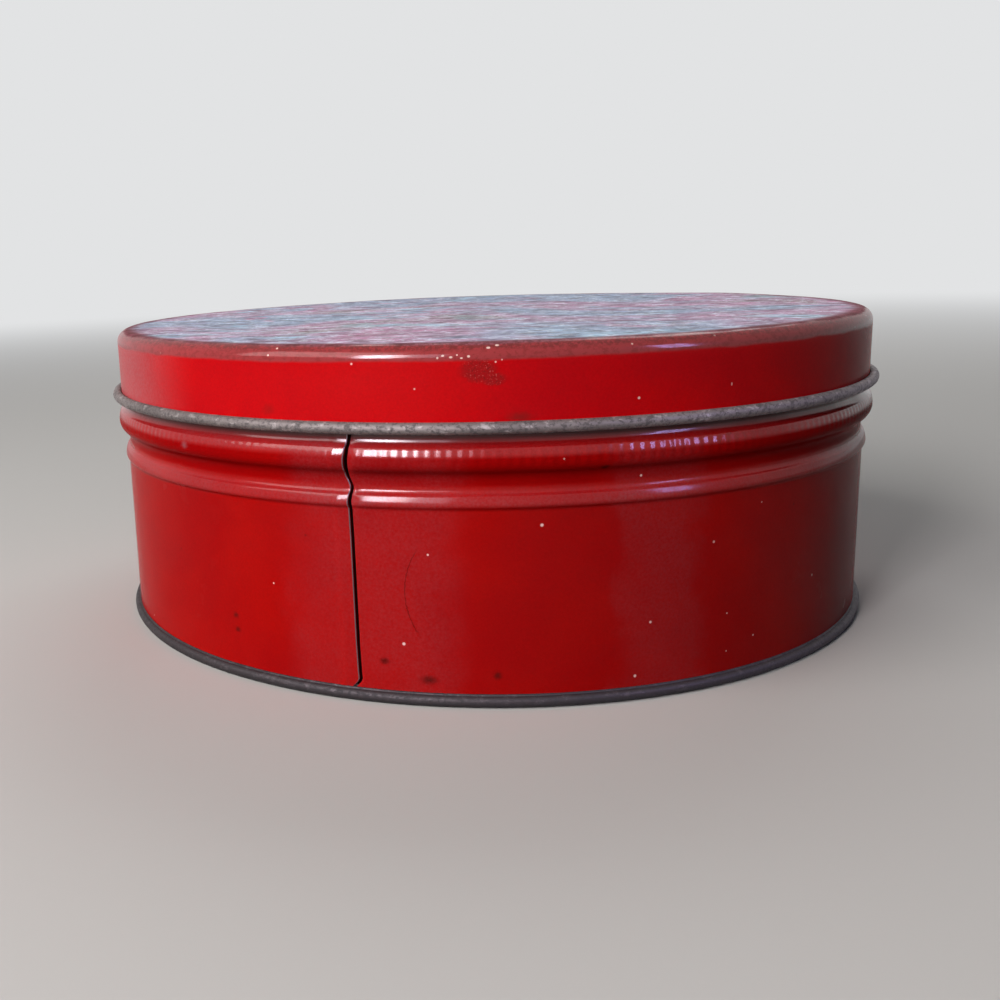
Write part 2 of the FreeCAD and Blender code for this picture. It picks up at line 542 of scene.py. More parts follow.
class Spot(Effect):
    """A mask of one small mark, round or long, with a ragged edge."""

    name = "Spot"
    inputs = {"Place": "Vector", "Centre": "Vector", "Stretch": "Vector", "Size": "Float",
              "Core": "Float"}
    outputs = {"Mask": "Float"}

    def fill(self, w: Wiring, given: Sockets) -> Sockets:
        """The mask is full in the core, a share of the mark, and fades round it."""
        away = w.vector("SUBTRACT", given["Place"], given["Centre"])
        far = w.length(w.vector("MULTIPLY", away, given["Stretch"]))
        return {"Mask": w.spread(w.math("DIVIDE", far, given["Size"]), 1.0, given["Core"])}


class Flecks(Effect):
    """A mask of many tiny chips scattered at random."""

    name = "Flecks"
    inputs = {"Vector": "Vector", "Scale": "Float", "Size": "Float", "Share": "Float"}
    outputs = {"Mask": "Float"}

    def fill(self, w: Wiring, given: Sockets) -> Sockets:
        """Only some of the scattered cells hold a chip, which their own colour picks out."""
        cell = w.add("TexVoronoi", {"Vector": given["Vector"], "Scale": given["Scale"]}).outputs
        near = w.math("LESS_THAN", cell["Distance"], given["Size"])
        pick = w.add("SeparateColor", {0: cell["Color"]}).outputs[0]
        return {"Mask": w.times(near, w.math("LESS_THAN", pick, given["Share"]))}


class Scuffs(Effect):
    """A mask of rubbed, streaky wear that breaks up where it is weak."""

    name = "Scuffs"
    inputs = {"Vector": "Vector", "Stretch": "Vector", "Scale": "Float", "Amount": "Float"}
    outputs = {"Mask": "Float"}

    def fill(self, w: Wiring, given: Sockets) -> Sockets:
        """Amount from 0 to 1 moves the threshold of a stretched cloud."""
        long = w.vector("MULTIPLY", given["Vector"], given["Stretch"])
        edge = w.scaled(given["Amount"], -0.5, 0.78)
        over = w.math("SUBTRACT", w.cloud(long, given["Scale"], 6.0, 0.72, 0.3), edge)
        return {"Mask": w.spread(over, -0.04, 0.05)}


ROUND = RoundTheTin()
MOTTLE = Mottle()
SPOT = Spot()
FLECKS = Flecks()
SCUFFS = Scuffs()


# ---------------------------------------------------------------- marks of wear


class Wear(Enum):
    """What shows where the paint is marked. A value is the sharp core's share of the mark."""

    CHIP = ("chip", 0.55)
    RUST = ("rust", 0.0)
    GREY = ("grey", 0.0)


@dataclass(frozen=True)
class Mark:
    """One mark on the paint.

    Attributes:
        azimuth: Degrees round the tin from the front, to the right.
        height: Height in millimetres.
        size: Half its size in millimetres.
        kind: What shows there.
        wide: How many times wider it is than high.
    """

    azimuth: float
    height: float
    size: float
    kind: Wear
    wide: float = 1.0

    def mask(self, w: Wiring, place: Socket) -> Socket:
        """The mark's mask.

        Args:
            w: The material's wiring.
            place: Where a point lies round and up the tin, in millimetres.

        Returns:
            A socket from 0 to 1.
        """
        centre = (math.radians(self.azimuth) * WALL, self.height, 0.0)
        return SPOT.place(w, Place=place, Centre=centre, Stretch=(1 / self.wide, 1.0, 0.0),
                          Size=self.size, Core=self.kind.value[1])["Mask"]


@dataclass(frozen=True)
class Scratch:
    """A hairline scratch, the left side of a circle on the unrolled wall.

    Attributes:
        azimuth: Degrees round the tin from the front of the circle's middle.
        height: Height of the circle's middle in millimetres.
        radius: The circle's radius in millimetres.
        half: How far the scratch runs above and below the middle, in millimetres.
        width: Half the line's width in millimetres.
    """

    azimuth: float = -0.2
    height: float = 24.5
    radius: float = 16.0
    half: float = 9.5
    width: float = 0.2

    def mask(self, w: Wiring, place: Socket) -> Socket:
        """The scratch's mask.

        Args:
            w: The material's wiring.
            place: Where a point lies round and up the tin, in millimetres.

        Returns:
            A socket from 0 to 1.
        """
        middle = (math.radians(self.azimuth) * WALL, self.height, 0.0)
        away = w.vector("SUBTRACT", place, middle)
        off = w.math("ABSOLUTE", w.math("SUBTRACT", w.length(away), self.radius))
        part = w.add("SeparateXYZ", {0: away}).outputs
        near = w.spread(w.math("ABSOLUTE", part[1]), self.half, self.half * 0.8)
        return w.times(w.spread(off, self.width, self.width * 0.3),
                       w.math("LESS_THAN", part[0], 0.0), near)


@dataclass(frozen=True)
class Marks:
    """The marks on one piece, each as azimuth, height, size and, if not 1, times wider."""

    chips: tuple[tuple[float, ...], ...]
    rust: tuple[tuple[float, ...], ...]
    grey: tuple[tuple[float, ...], ...]

    def mask(self, w: Wiring, place: Socket, kind: Wear) -> Socket:
        """One mask of all the marks of a kind.

        Args:
            w: The material's wiring.
            place: Where a point lies round and up the tin, in millimetres.
            kind: Which marks.

        Returns:
            A socket from 0 to 1.
        """
        rows = {Wear.CHIP: self.chips, Wear.RUST: self.rust, Wear.GREY: self.grey}[kind]
        marks = [Mark(*row[:3], kind, *row[3:]) for row in rows]
        return w.largest(*[mark.mask(w, place) for mark in marks])


BODY_MARKS = Marks(
    chips=((6.8, 38.6, 0.42), (-6.6, 32.6, 0.28), (-9.8, 13.2, 0.42), (28.8, 31.8, 0.34),
           (48.0, 18.5, 0.36), (20.2, 16.4, 0.34), (18.3, 5.0, 0.38), (31.2, 15.6, 0.2),
           (31.3, 7.1, 0.2), (18.8, 47.4, 0.3), (35.8, 9.2, 0.26), (-27.5, 23.6, 0.24)),
    rust=((-12.3, 9.1, 1.1, 1.5), (1.5, 6.8, 1.4), (-6.8, 5.5, 1.5, 2.0),
          (-34.4, 14.3, 1.1, 1.2), (-34.2, 11.0, 0.9, 1.6), (14.0, 50.0, 0.7, 2.0)),
    grey=((-41.6, 52.3, 1.2, 1.4),))
LID_MARKS = Marks(
    chips=((18.0, 63.3, 0.34), (30.3, 64.5, 0.42, 0.5), (-7.6, 66.6, 0.24),
           (-15.0, 71.6, 0.28), (-4.9, 72.6, 0.26), (-4.3, 73.0, 0.2, 1.8),
           (-3.4, 72.7, 0.26, 1.6), (-2.7, 73.1, 0.2), (-2.2, 72.5, 0.2, 1.6),
           (-1.4, 72.8, 0.28, 1.3), (0.8, 74.3, 0.24, 2.0), (1.8, 74.7, 0.2, 2.4),
           (1.6, 71.6, 0.22), (2.3, 72.0, 0.18)),
    rust=((-26.5, 61.8, 1.6, 1.6),),
    grey=((4.3, 60.7, 1.5, 2.6),))
# the scraped patch that runs down from the lid's shoulder at the front
SCRAPE = Marks(chips=(), rust=((-0.3, 70.0, 3.4, 1.6), (1.3, 68.3, 2.0, 1.9)), grey=())


def roughen(w: Wiring, where: Socket, place: Socket, amount: float) -> Socket:
    """Shift a place by fine noise, so that marks get ragged edges.

    Args:
        w: The material's wiring.
        where: Object coordinates.
        place: The place to shift, in millimetres.
        amount: How far, in millimetres.

    Returns:
        The shifted place.
    """
    shake = w.add("TexNoise", {"Vector": where, "Scale": 1400.0, "Detail": 2.0}).outputs[1]
    centred = w.vector("SUBTRACT", shake, (0.5, 0.5, 0.5))
    return w.vector("ADD", place, w.vector("MULTIPLY", centred, (amount, amount, 0.0)))


# ---------------------------------------------------------------- finishes


@dataclass(frozen=True)
class Finish:
    """A finish for one surface."""

    name: str

    def wire(self, w: Wiring, where: Socket) -> dict[str, object]:
        """Give what each of the shader's sockets takes. Each finish has its own.

        Args:
            w: The material's wiring.
            where: Object coordinates.

        Returns:
            Values or sockets by the name of the input.
        """
        raise NotImplementedError

    def build(self) -> bpy.types.Material:
        """Make the material."""
        material = bpy.data.materials.new(self.name)
        material.use_nodes = True
        material.node_tree.nodes.clear()
        w = Wiring(material.node_tree)
        shader = w.add("BsdfPrincipled", self.wire(w, w.add("TexCoord").outputs["Object"]))
        w.add("OutputMaterial", {"Surface": shader.outputs[0]})
        return material


@dataclass(frozen=True)
class Enamel(Finish):
    """What the paint of the wall and of the lid have in common."""

    grain: float = 0.55
    index: float = 1.05
    rough: float = 0.17
    uneven: float = 0.16

    def ground(self, w: Wiring, where: Socket, red: Colour, dark_red: Colour) -> Sockets:
        """The plain enamel, faintly patchy and grained."""
        return MOTTLE.place(w, Vector=where, Colour=red, Patch_colour=dark_red, Patches=0.8,
                            Grain=self.grain, Grain_scale=1900.0)

    def roughness(self, w: Wiring, where: Socket, dull: Socket, more: float) -> Socket:
        """Cloudy roughness, raised where a mask says that the paint is dull."""
        cloudy = w.scaled(w.cloud(where, 60.0, 4.0, 0.6), self.uneven, self.rough)
        return w.scaled(dull, more, cloudy)


@dataclass(frozen=True)
class BodyPaint(Enamel):
    """Red enamel of the wall, rubbed on the beads, with painted sheens and painted shade, open to
    the steel at the seam.

    The bands are heights in millimetres, and those of the sheens are millimetres round the
    wall from the front.
    """

    red: Colour = paint(172, 8, 6)
    dark_red: Colour = paint(158, 5, 8)
    chip: Colour = paint(255, 216, 208)
    rust: Colour = paint(58, 14, 11)
    grey: Colour = paint(146, 82, 88)
    steel: Colour = paint(132, 120, 126)
    gap: Colour = paint(26, 4, 3)
    groove_shade: Colour = paint(130, 3, 5)
    shade: Colour = paint(66, 2, 4)
    groove_shade_band: Band = (46.3, 47.3, 52.4, 53.6)
    crest_band: Band = (42.3, 43.1, 45.0, 46.2)
    low_bead_band: Band = (42.2, 43.2, 46.2, 46.8)
    left_sheen: Band = (-46.0, -36.0, -11.0, -1.0)
    right_sheen: Band = (25.0, 31.0, 43.0, 49.0)
    sheen_share: float = 0.19
    coat: float = 0.12

    def wire(self, w: Wiring, where: Socket) -> dict[str, object]:
        """Lay the wear, painted sheens and painted shade over the enamel, and gloss on the beads.
        """
        lie = ROUND.place(w, Vector=where)
        height = lie["Height"]
        ragged = roughen(w, where, lie["Place"], 0.7)
        base = self.ground(w, where, self.red, self.dark_red)
        seam = w.add("Attribute", attribute_name="seam").outputs["Color"]
        gap, steel = w.add("SeparateColor", {0: seam}).outputs[:2]

        # dulled paint, partly a painted sheen, breaks up into specks and clouds, on the low bead's
        # crest and under the hem
        sheen_film = w.times(w.spread(w.cloud(where, 1700.0, 4.0, 0.7), 0.3, 0.72, 0.25),
                       w.spread(w.cloud(where, 45.0, 3.0), 0.3, 0.6, 0.5))
        worn_and_sheen = w.times(sheen_film, w.within(height, self.crest_band), 0.26)
        # partly painted sheen on the top bead's upper side and the neck, stronger towards the lit
        # left
        dulled_and_sheen = w.times(sheen_film, w.spread(height, 53.0, 53.9),
                         w.spread(lie["Round"], -60.0, 40.0, 0.32, 0.16))
        flecks = FLECKS.place(w, Vector=where, Scale=190.0, Size=0.04, Share=0.12)["Mask"]
        dirt = FLECKS.place(w, Vector=where, Scale=240.0, Size=0.07, Share=0.07)["Mask"]
        groove_shade = w.within(height, self.groove_shade_band)
        chips = w.largest(w.times(flecks, 0.5), BODY_MARKS.mask(w, lie["Place"], Wear.CHIP))
        colour = w.coats(
            base["Colour"],
            # painted shade: the groove between the beads and the top bead's underside are laid
            # darker
            (w.times(groove_shade, 0.45), self.groove_shade),
            # painted sheen: two pale upright bands of reflection laid into the enamel
            (w.times(self.sheen(w, where, lie["Round"]), sheen_film), self.grey),
            (dulled_and_sheen, self.grey),
            (worn_and_sheen, self.grey),
            (w.times(dirt, 0.4), self.rust),
            (w.times(BODY_MARKS.mask(w, ragged, Wear.RUST), 0.75), self.rust),
            (w.times(Scratch().mask(w, ragged), 0.5), self.rust),
            (w.times(BODY_MARKS.mask(w, ragged, Wear.GREY), 0.7), self.grey),
            (w.times(chips, 0.85), self.chip),
            # painted shade under the curled hem: the neck is laid darker towards it
            (w.spread(height, 54.3, 57.2, 0.0, 0.95), self.shade),
            (steel, self.steel),
            (gap, self.gap))

        # the beads and the neck keep their gloss, and the hollow between the beads has none
        beads = w.largest(w.within(height, self.low_bead_band), w.spread(height, 51.6, 53.0))
        coat = w.scaled(beads, w.spread(height, 47.0, 50.0, 0.3, 0.48), self.coat)
        bump = w.add("Bump", {"Height": base["Grain"], "Strength": 0.35, "Distance": 0.00006})
        return {
            "Base Color": colour,
            "Roughness": self.roughness(w, where, w.largest(worn_and_sheen, dulled_and_sheen, gap), 0.4),
            "Metallic": w.times(steel, 0.8),
            "IOR": self.index,
            "Coat Weight": w.times(coat, w.spread(w.cloud(where, 34.0, 5.0, 0.65),
                                                  0.35, 0.6, 0.8, 1.2),
                                   w.without(w.largest(groove_shade, gap))),
            "Coat Roughness": 0.14,
            "Normal": bump.outputs[0]}

    def sheen(self, w: Wiring, where: Socket, around: Socket) -> Socket:
        """Two upright bands of painted sheen, pale reflections laid into the enamel, with soft
        mottled edges.

        Args:
            w: The material's wiring.
            where: Object coordinates.
            around: How far round a point lies, in millimetres from the front.

        Returns:
            The bands' mask.
        """
        stray = w.scaled(w.cloud(where, 110.0, 4.0, 0.65), 16.0, -8.0)
        along = w.math("ADD", around, stray)
        both = w.math("ADD", w.within(along, self.left_sheen), w.within(along, self.right_sheen))
        return w.times(both, self.sheen_share)


@dataclass(frozen=True)
class LidPaint(Enamel):
    """Enamel of the lid: bright red at the side, scuffed shoulder, faded print on top, and painted
    sheen.

    The bands are millimetres from the lid's top; the painted sheen's, millimetres round the lid
    from the front.
    """

    grain: float = 0.5
    top: float = 75.5
    red: Colour = paint(200, 4, 11)
    dark_red: Colour = paint(184, 4, 15)
    shoulder: Colour = paint(150, 58, 60)
    border: Colour = paint(146, 84, 94)
    mauve: Colour = paint(200, 164, 192)
    slate: Colour = paint(168, 182, 208)
    aqua: Colour = paint(182, 214, 234)
    pink: Colour = paint(212, 152, 184)
    olive: Colour = paint(150, 148, 136)
    pale: Colour = paint(234, 242, 253)
    brown: Colour = paint(78, 34, 30)
    scraped: Colour = paint(122, 24, 26)
    sheen_film: Colour = paint(172, 140, 144)
    chip: Colour = paint(250, 216, 204)
    chipped_band: Band = (-3.8, -2.6, -0.9, -0.2)
    sheen_film_share: float = 0.42

    def wire(self, w: Wiring, where: Socket) -> dict[str, object]:
        """Lay the shoulder, the print, the wear and a painted sheen over the enamel."""
        lie = ROUND.place(w, Vector=where)
        ragged = roughen(w, where, lie["Place"], 1.0)
        side = self.ground(w, where, self.red, self.dark_red)
        # how far a point lies from the top's level, and the same with a wandering edge
        depth = w.math("SUBTRACT", lie["Height"], self.top)
        wander = w.scaled(w.cloud(where, 60.0, 5.0, 0.65), 5.0, -2.5)
        level = w.scaled(wander, 0.3, depth)
        flat = w.largest(w.spread(level, -0.75, -0.3), w.spread(lie["Out"], 96.6, 95.4))
        rim = w.spread(level, -3.9, -3.1)
        print_edge = w.spread(w.math("ADD", lie["Out"], wander), 97.0, 92.5)
        mottled = w.cloud(where, 130.0, 6.0, 0.72, 0.4)

        # the shoulder is scuffed, its edge is grimed, and the far left has a painted sheen, a pale
        # reflection laid into the colour
        scuffed = self.scuffs(w, where, (1.0, 1.0, 1.5), 640.0, 0.52)
        grains = self.scuffs(w, where, (1.0, 1.0, 1.2), 1300.0, 0.6)
        edge_line = w.times(w.spread(depth, -1.9, -1.0), w.spread(lie["Out"], 94.5, 96.5))
        sheen_film = w.times(w.spread(lie["Round"], -66.0, -106.0, 0.0, self.sheen_film_share),
                       w.spread(w.cloud(where, 1500.0, 4.0, 0.7), 0.3, 0.7, 0.6),
                       w.spread(lie["Round"], -210.0, -150.0))
        flecks = FLECKS.place(w, Vector=where, Scale=520.0, Size=0.13, Share=0.3)["Mask"]
        near_worn = w.times(w.within(depth, self.chipped_band),
                            w.spread(w.cloud(where, 30.0, 3.0), 0.44, 0.56))
        chips = w.largest(w.times(flecks, near_worn),
                          LID_MARKS.mask(w, lie["Place"], Wear.CHIP))
        colour = w.coats(
            side["Colour"],
            (sheen_film, self.sheen_film),
            (w.times(rim, 0.8), w.mix(w.times(scuffed, 0.4), self.shoulder, self.brown)),
            (flat, self.print_and_sheen(w, where, mottled, print_edge)),
            (w.times(grains, edge_line, 0.5), self.brown),
            (w.times(LID_MARKS.mask(w, ragged, Wear.RUST), 0.3), self.brown),
            (w.times(LID_MARKS.mask(w, ragged, Wear.GREY), 0.5), self.brown),
            *self.scrape(w, where, ragged),
            (w.times(chips, 0.85), self.chip))

        relief = w.math("ADD", side["Grain"], w.times(mottled, flat))
        bump = w.add("Bump", {"Height": relief, "Strength": 0.3, "Distance": 0.0001})
        return {
            "Base Color": colour,
            "Roughness": self.roughness(w, where, w.largest(flat, w.times(rim, 0.4)), 0.24),
            "IOR": self.index,
            "Coat Weight": w.times(w.spread(rim, 0.0, 1.0, 0.12, 0.5), w.without(flat)),
            "Coat Roughness": 0.12,
            "Normal": bump.outputs[0]}

    def scuffs(self, w: Wiring, where: Socket, stretch: tuple[float, float, float],
               scale: float, amount: float) -> Socket:
        """A mask of scuffs."""
        return SCUFFS.place(w, Vector=where, Stretch=stretch, Scale=scale, Amount=amount)["Mask"]

    def print_and_sheen(self, w: Wiring, where: Socket, mottled: Socket, edge: Socket) -> Socket:
        """The faded, rubbed field of print on the lid's top, lightened as a painted sheen of its
        grazing reflection.

        Args:
            w: The material's wiring.
            where: Object coordinates.
            mottled: The fine cloud that makes it lighter and darker.
            edge: Where it reaches to, as a mask.

        Returns:
            Its colour.
        """
        broad = w.cloud(where, 16.0, 4.0, 0.6, 0.6)
        patch = w.cloud(where, 27.0, 5.0, 0.65, 1.0)
        # partly print, partly painted sheen: the colours are lightened for the top's grazing
        # reflection
        faded = w.coats(
            self.mauve,
            (w.spread(broad, 0.42, 0.56), self.slate),
            (w.times(w.spread(patch, 0.53, 0.64), 0.85), self.aqua),
            (w.times(w.spread(patch, 0.45, 0.36), 0.75), self.pink),
            (w.times(w.spread(broad, 0.4, 0.32), 0.6), self.olive),
            (w.times(w.veins(where, 270.0, 0.07, 0.3), w.spread(mottled, 0.4, 0.6, 0.15, 0.7)),
             self.pale))
        rubs = self.scuffs(w, where, (0.7, 1.3, 1.0), 210.0, 0.5)
        top = w.coats(self.border, (edge, faded), (w.times(rubs, 0.5), self.brown))
        return w.shaded(top, w.scaled(w.math("SUBTRACT", mottled, 0.5), 1.5, 1.0))

    def scrape(self, w: Wiring, where: Socket, ragged: Socket) -> list[tuple[Socket, Colour]]:
        """The coats of the scraped patch.

        Args:
            w: The material's wiring.
            where: Object coordinates.
            ragged: The place round and up the tin, with its edges roughened.

        Returns:
            How much of each colour shows, and the colours.
        """
        area = w.spread(SCRAPE.mask(w, ragged, Wear.RUST), 0.05, 0.6)
        grain = w.cloud(where, 2600.0, 3.0, 0.7)
        return [(w.times(area, 0.5), self.scraped),
                (w.times(area, w.spread(grain, 0.48, 0.36, 0.0, 0.6)), self.brown),
                (w.times(area, w.spread(grain, 0.58, 0.72, 0.0, 0.22)), self.chip)]


@dataclass(frozen=True)
class Steel(Finish):
    """Bare tinplate, dull, freckled with dirt and with small bright rubs, and painted shade towards
    the floor.

    Attributes:
        plain: Its colour.
        dark: The colour of the dirt and of the painted shade.
        bright: The colour of the rubs.
        shine: Its roughness where it is clean.
        floor_shade: Height in millimetres up to which it is laid darker all over, a painted shade
            towards the floor.
    """

    plain: Colour = paint(124, 115, 112)
    dark: Colour = paint(38, 31, 31)
    bright: Colour = paint(186, 177, 175)
    shine: float = 0.62
    floor_shade: float = -1.0

    def wire(self, w: Wiring, where: Socket) -> dict[str, object]:
        """Lay rubs and dirt over the plain metal, and painted shade near the floor."""
        base = MOTTLE.place(w, Vector=where, Colour=self.plain, Patch_colour=self.dark,
                            Patches=0.35, Grain=0.7, Grain_scale=1500.0)
        dirt = SCUFFS.place(w, Vector=where, Stretch=(1.0, 1.0, 1.3), Scale=1100.0,
                            Amount=0.5)["Mask"]
        rubs = SCUFFS.place(w, Vector=where, Stretch=(1.0, 1.0, 2.0), Scale=380.0,
                            Amount=0.4)["Mask"]
        height = ROUND.place(w, Vector=where)["Height"]
        # painted shade: the metal darkens towards the floor, below the given height
        floor_shade = w.spread(height, self.floor_shade + 0.6, self.floor_shade - 0.6, 0.0, 0.8)
        colour = w.coats(base["Colour"], (w.times(rubs, 0.5), self.bright),
                         (w.times(dirt, 0.6), self.dark), (floor_shade, self.dark))
        rough = w.scaled(w.math("SUBTRACT", base["Grain"], 0.5), 0.35,
                         w.scaled(dirt, 0.2, self.shine))
        bump = w.add("Bump", {"Height": base["Grain"], "Strength": 0.5, "Distance": 0.00012})
        return {"Base Color": colour,
                "Metallic": w.scaled(w.largest(dirt, floor_shade), -0.3, 0.4),
                "Roughness": rough,
                "Normal": bump.outputs[0]}


# ---------------------------------------------------------------- the tin's pieces


@dataclass
class BaseEnd:
    """The bottom end: panel, turned wall, flat foot, rounded rim and lip."""

    sheet: float = 0.3
    panel: float = 3.2
    rim_inner: float = 97.0
    rim_turn: float = 0.7
    rim_round: float = 1.05
    rim_top: float = 2.4
    lip: float = 0.45
    lip_top: float = 2.75
    steps: int = 896

    def outline(self) -> Outline:
        """The half section, from the panel's middle round the rim and back."""
        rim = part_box("base_end")[1].x / MM
        under = self.panel - self.sheet
        turn, corner = self.rim_turn, self.rim_round
        line = Outline().to(0, under).to(self.rim_inner - turn, under, 12)
        line.arc((self.rim_inner - turn, under - turn), 90, 0, 5)
        line.to(self.rim_inner, turn, 2).arc((self.rim_inner + turn, turn), 180, 270, 5)
        line.to(rim - corner, 0, 2).arc((rim - corner, corner), -90, 0, 6)
        line.to(rim, self.rim_top - corner, 2).arc((rim - corner, self.rim_top - corner), 0, 100, 8)
        spring = self.lip_top - self.lip
        inner = WALL - self.lip
        line.to(WALL + self.lip + 0.02, self.rim_top - 0.25)
        line.to(WALL + self.lip, spring).arc((WALL, spring), 0, 82, 5)
        line.to(inner, self.lip_top - 0.1).to(inner, self.panel - 0.1)
        return line.to(0, self.panel - 0.1, 6)

    def build(self, steel: bpy.types.Material) -> bpy.types.Object:
        """Turn the piece and give its rim small dents.

        Args:
            steel: Its material.

        Returns:
            The piece.
        """
        bm = lathe(self.outline(), [(360, self.steps)], start=75)
        for vert in bm.verts:
            radius = away_from_axis(vert.co)
            if radius > WALL + 0.3 and vert.co.z / MM > 0.2:
                dent = 0.05 * ripple(vert.co, 260, 3) + 0.05 * ripple(vert.co, 60, 5) - 0.06
                widen(vert, 1 + min(0.0, dent) / radius)
        return finish_piece(bm, "base_rim", "base_end", [steel], crease=50)


@dataclass
class Body:
    """The wall with its two rolled beads, its flutes and the open line of its side seam."""

    foot: float = 3.2
    tuck: float = 0.75
    low_start: float = 41.5
    low_crest: float = 99.25
    low_at: float = 43.0
    valley: float = 97.95
    valley_z: float = 47.5
    top_at: float = 51.9
    neck_round: float = 3.2
    seam: float = -105.9
    flutes: int = 285
    flute_depth: float = 0.08

    # how far a column of the seam's own mesh lies from the seam, in millimetres
    columns: tuple[float, ...] = (
        -5.97, -5.3, -4.7, -4.2, -3.8, -3.4, -3.0, -2.6, -2.2, -1.8, -1.4, -1.0, -0.75,
        -0.6, -0.5, -0.42, -0.34, -0.28, -0.14, 0.0, 0.14, 0.28, 0.34, 0.42, 0.52, 0.66,
        0.82, 1.0, 1.25, 1.5, 1.8, 2.1, 2.5, 3.0, 3.6, 4.3, 5.1, 5.97)
    # the seam line's wander along the wall, by height
    wander: Table = (
        (2.4, -0.9), (4.3, 0.8), (6.0, 0.65), (13.0, 0.42), (39.0, 0.02), (43.4, -0.18),
        (46.4, 0.3), (48.6, -0.62), (52.5, -0.5), (57.5, 0.25), (60.0, 0.3))
    # how far the folded sheets stand in or out beside the line
    folds: Table = (
        (-5.2, 0.0), (-4.6, -0.05), (-3.9, -0.03), (-3.3, 0.13), (-2.9, 0.15), (-0.75, 0.04),
        (-0.5, 0.02), (-0.42, -0.04), (-0.34, -0.14), (-0.28, -0.8), (0.28, -0.8), (0.34, -0.16),
        (0.42, -0.07), (0.6, -0.01), (0.8, 0.02), (1.4, 0.01), (2.2, 0.0))
    # how much of a bead's height is left beside the line
    flattening: Table = (
        (-3.2, 1.0), (-2.2, 0.93), (-0.3, 0.84), (0.3, 0.5), (0.9, 0.58), (1.3, 0.78),
        (1.9, 0.95), (2.6, 1.0))

    def outline(self) -> Outline:
        """The half section, from the foot up over the beads to the neck."""
        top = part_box("body")[1].z / MM - 0.7
        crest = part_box("body")[1].x / MM
        line = Outline().to(0, self.foot).to(WALL - 0.4, self.foot, 4)
        line.to(WALL - 0.4, self.foot - self.tuck).to(WALL, self.foot - self.tuck)
        line.to(WALL, 6.2, 5).to(WALL, self.low_start, 6)
        line.flank(self.low_crest, self.low_at, 4)
        line.fall(self.valley, turn=2.0, crown=7.5, edge=0.6, hollow=1.2, steep=50)
        line.to(self.valley, self.valley_z, 3).flank(crest, self.top_at, 6)
        line.fall(WALL, turn=7.0, crown=8.0, edge=1.0, hollow=2.0, steep=56)
        line.to(WALL, top - self.neck_round, 3)
        line.arc((WALL - self.neck_round, top - self.neck_round), 0, 90, 3)
        return line.to(0, top, 2)

    def sweeps(self) -> list[tuple[float, int]]:
        """Turns in degrees and steps: close columns at the seam, four a flute elsewhere."""
        per_mm = math.degrees(1 / WALL)
        near = [((b - a) * per_mm, 1) for a, b in zip(self.columns, self.columns[1:])]
        rest = 360 - sum(turn for turn, _ in near)
        return [*near, (rest, 32 * round(rest / 360 * self.flutes / 8))]

    def shaped(self, place: Vector) -> tuple[Vector, tuple[float, float]]:
        """Where a point of the plain turned wall ends up, and what shows there.

        Args:
            place: The point, in metres.

        Returns:
            Its new place, and the shares of open gap and of bare steel.
        """
        height, azimuth = place.z / MM, azimuth_of(place)
        away = math.radians((azimuth - self.seam + 180) % 360 - 180) * WALL
        bead = away_from_axis(place) - WALL
        swell = 0.035 * ripple(place, 24, 1) + 0.02 * ripple(place, 75, 2)
        swell += 0.05 * ripple(place, 55, 4) * ease(0.1, 0.6, abs(bead))
        near = 1 - ease(3.0, 5.9, abs(away))
        bead *= 1 + (blend(self.flattening, away) - 1) * near
        fluting = ease(50.4, 52.0, height) * (1 - ease(54.4, 55.2, height))
        fluting *= (0.55 + 0.6 * ripple(place, 30, 9)) * ease(1.2, 3.5, abs(away))
        turn = math.radians((azimuth + 360) * self.flutes)
        flute = self.flute_depth * fluting * (math.cos(turn) - 1)
        radius = WALL + bead + swell * (1 - near) + blend(self.folds, away) + flute
        angle = math.radians(azimuth) + blend(self.wander, height) * near / WALL
        open_gap = ease(-0.36, -0.28, away) * (1 - ease(0.28, 0.36, away))
        steel = ease(-0.6, -0.5, away) * (1 - ease(-0.42, -0.36, away))
        moved = Vector((radius * math.cos(angle), radius * math.sin(angle), height)) * MM
        return moved, (open_gap, steel)

    def build(self, enamel: bpy.types.Material) -> bpy.types.Object:
        """Turn the wall, then fold the seam and press the flutes.

        Args:
            enamel: Its material.

        Returns:
            The piece.
        """
        start = self.seam + math.degrees(self.columns[0] / WALL)
        bm = lathe(self.outline(), self.sweeps(), start)
        layer = bm.verts.layers.float_color.new("seam")
        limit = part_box("body")[1].x / MM
        for vert in bm.verts:
            shown = (0.0, 0.0)
            if away_from_axis(vert.co) > WALL - 1:
                vert.co, shown = self.shaped(vert.co)
                widen(vert, min(1.0, limit / away_from_axis(vert.co)))
            vert[layer] = (*shown, 0.0, 1.0)
        return finish_piece(bm, "tin_body", "body", [enamel], crease=48)


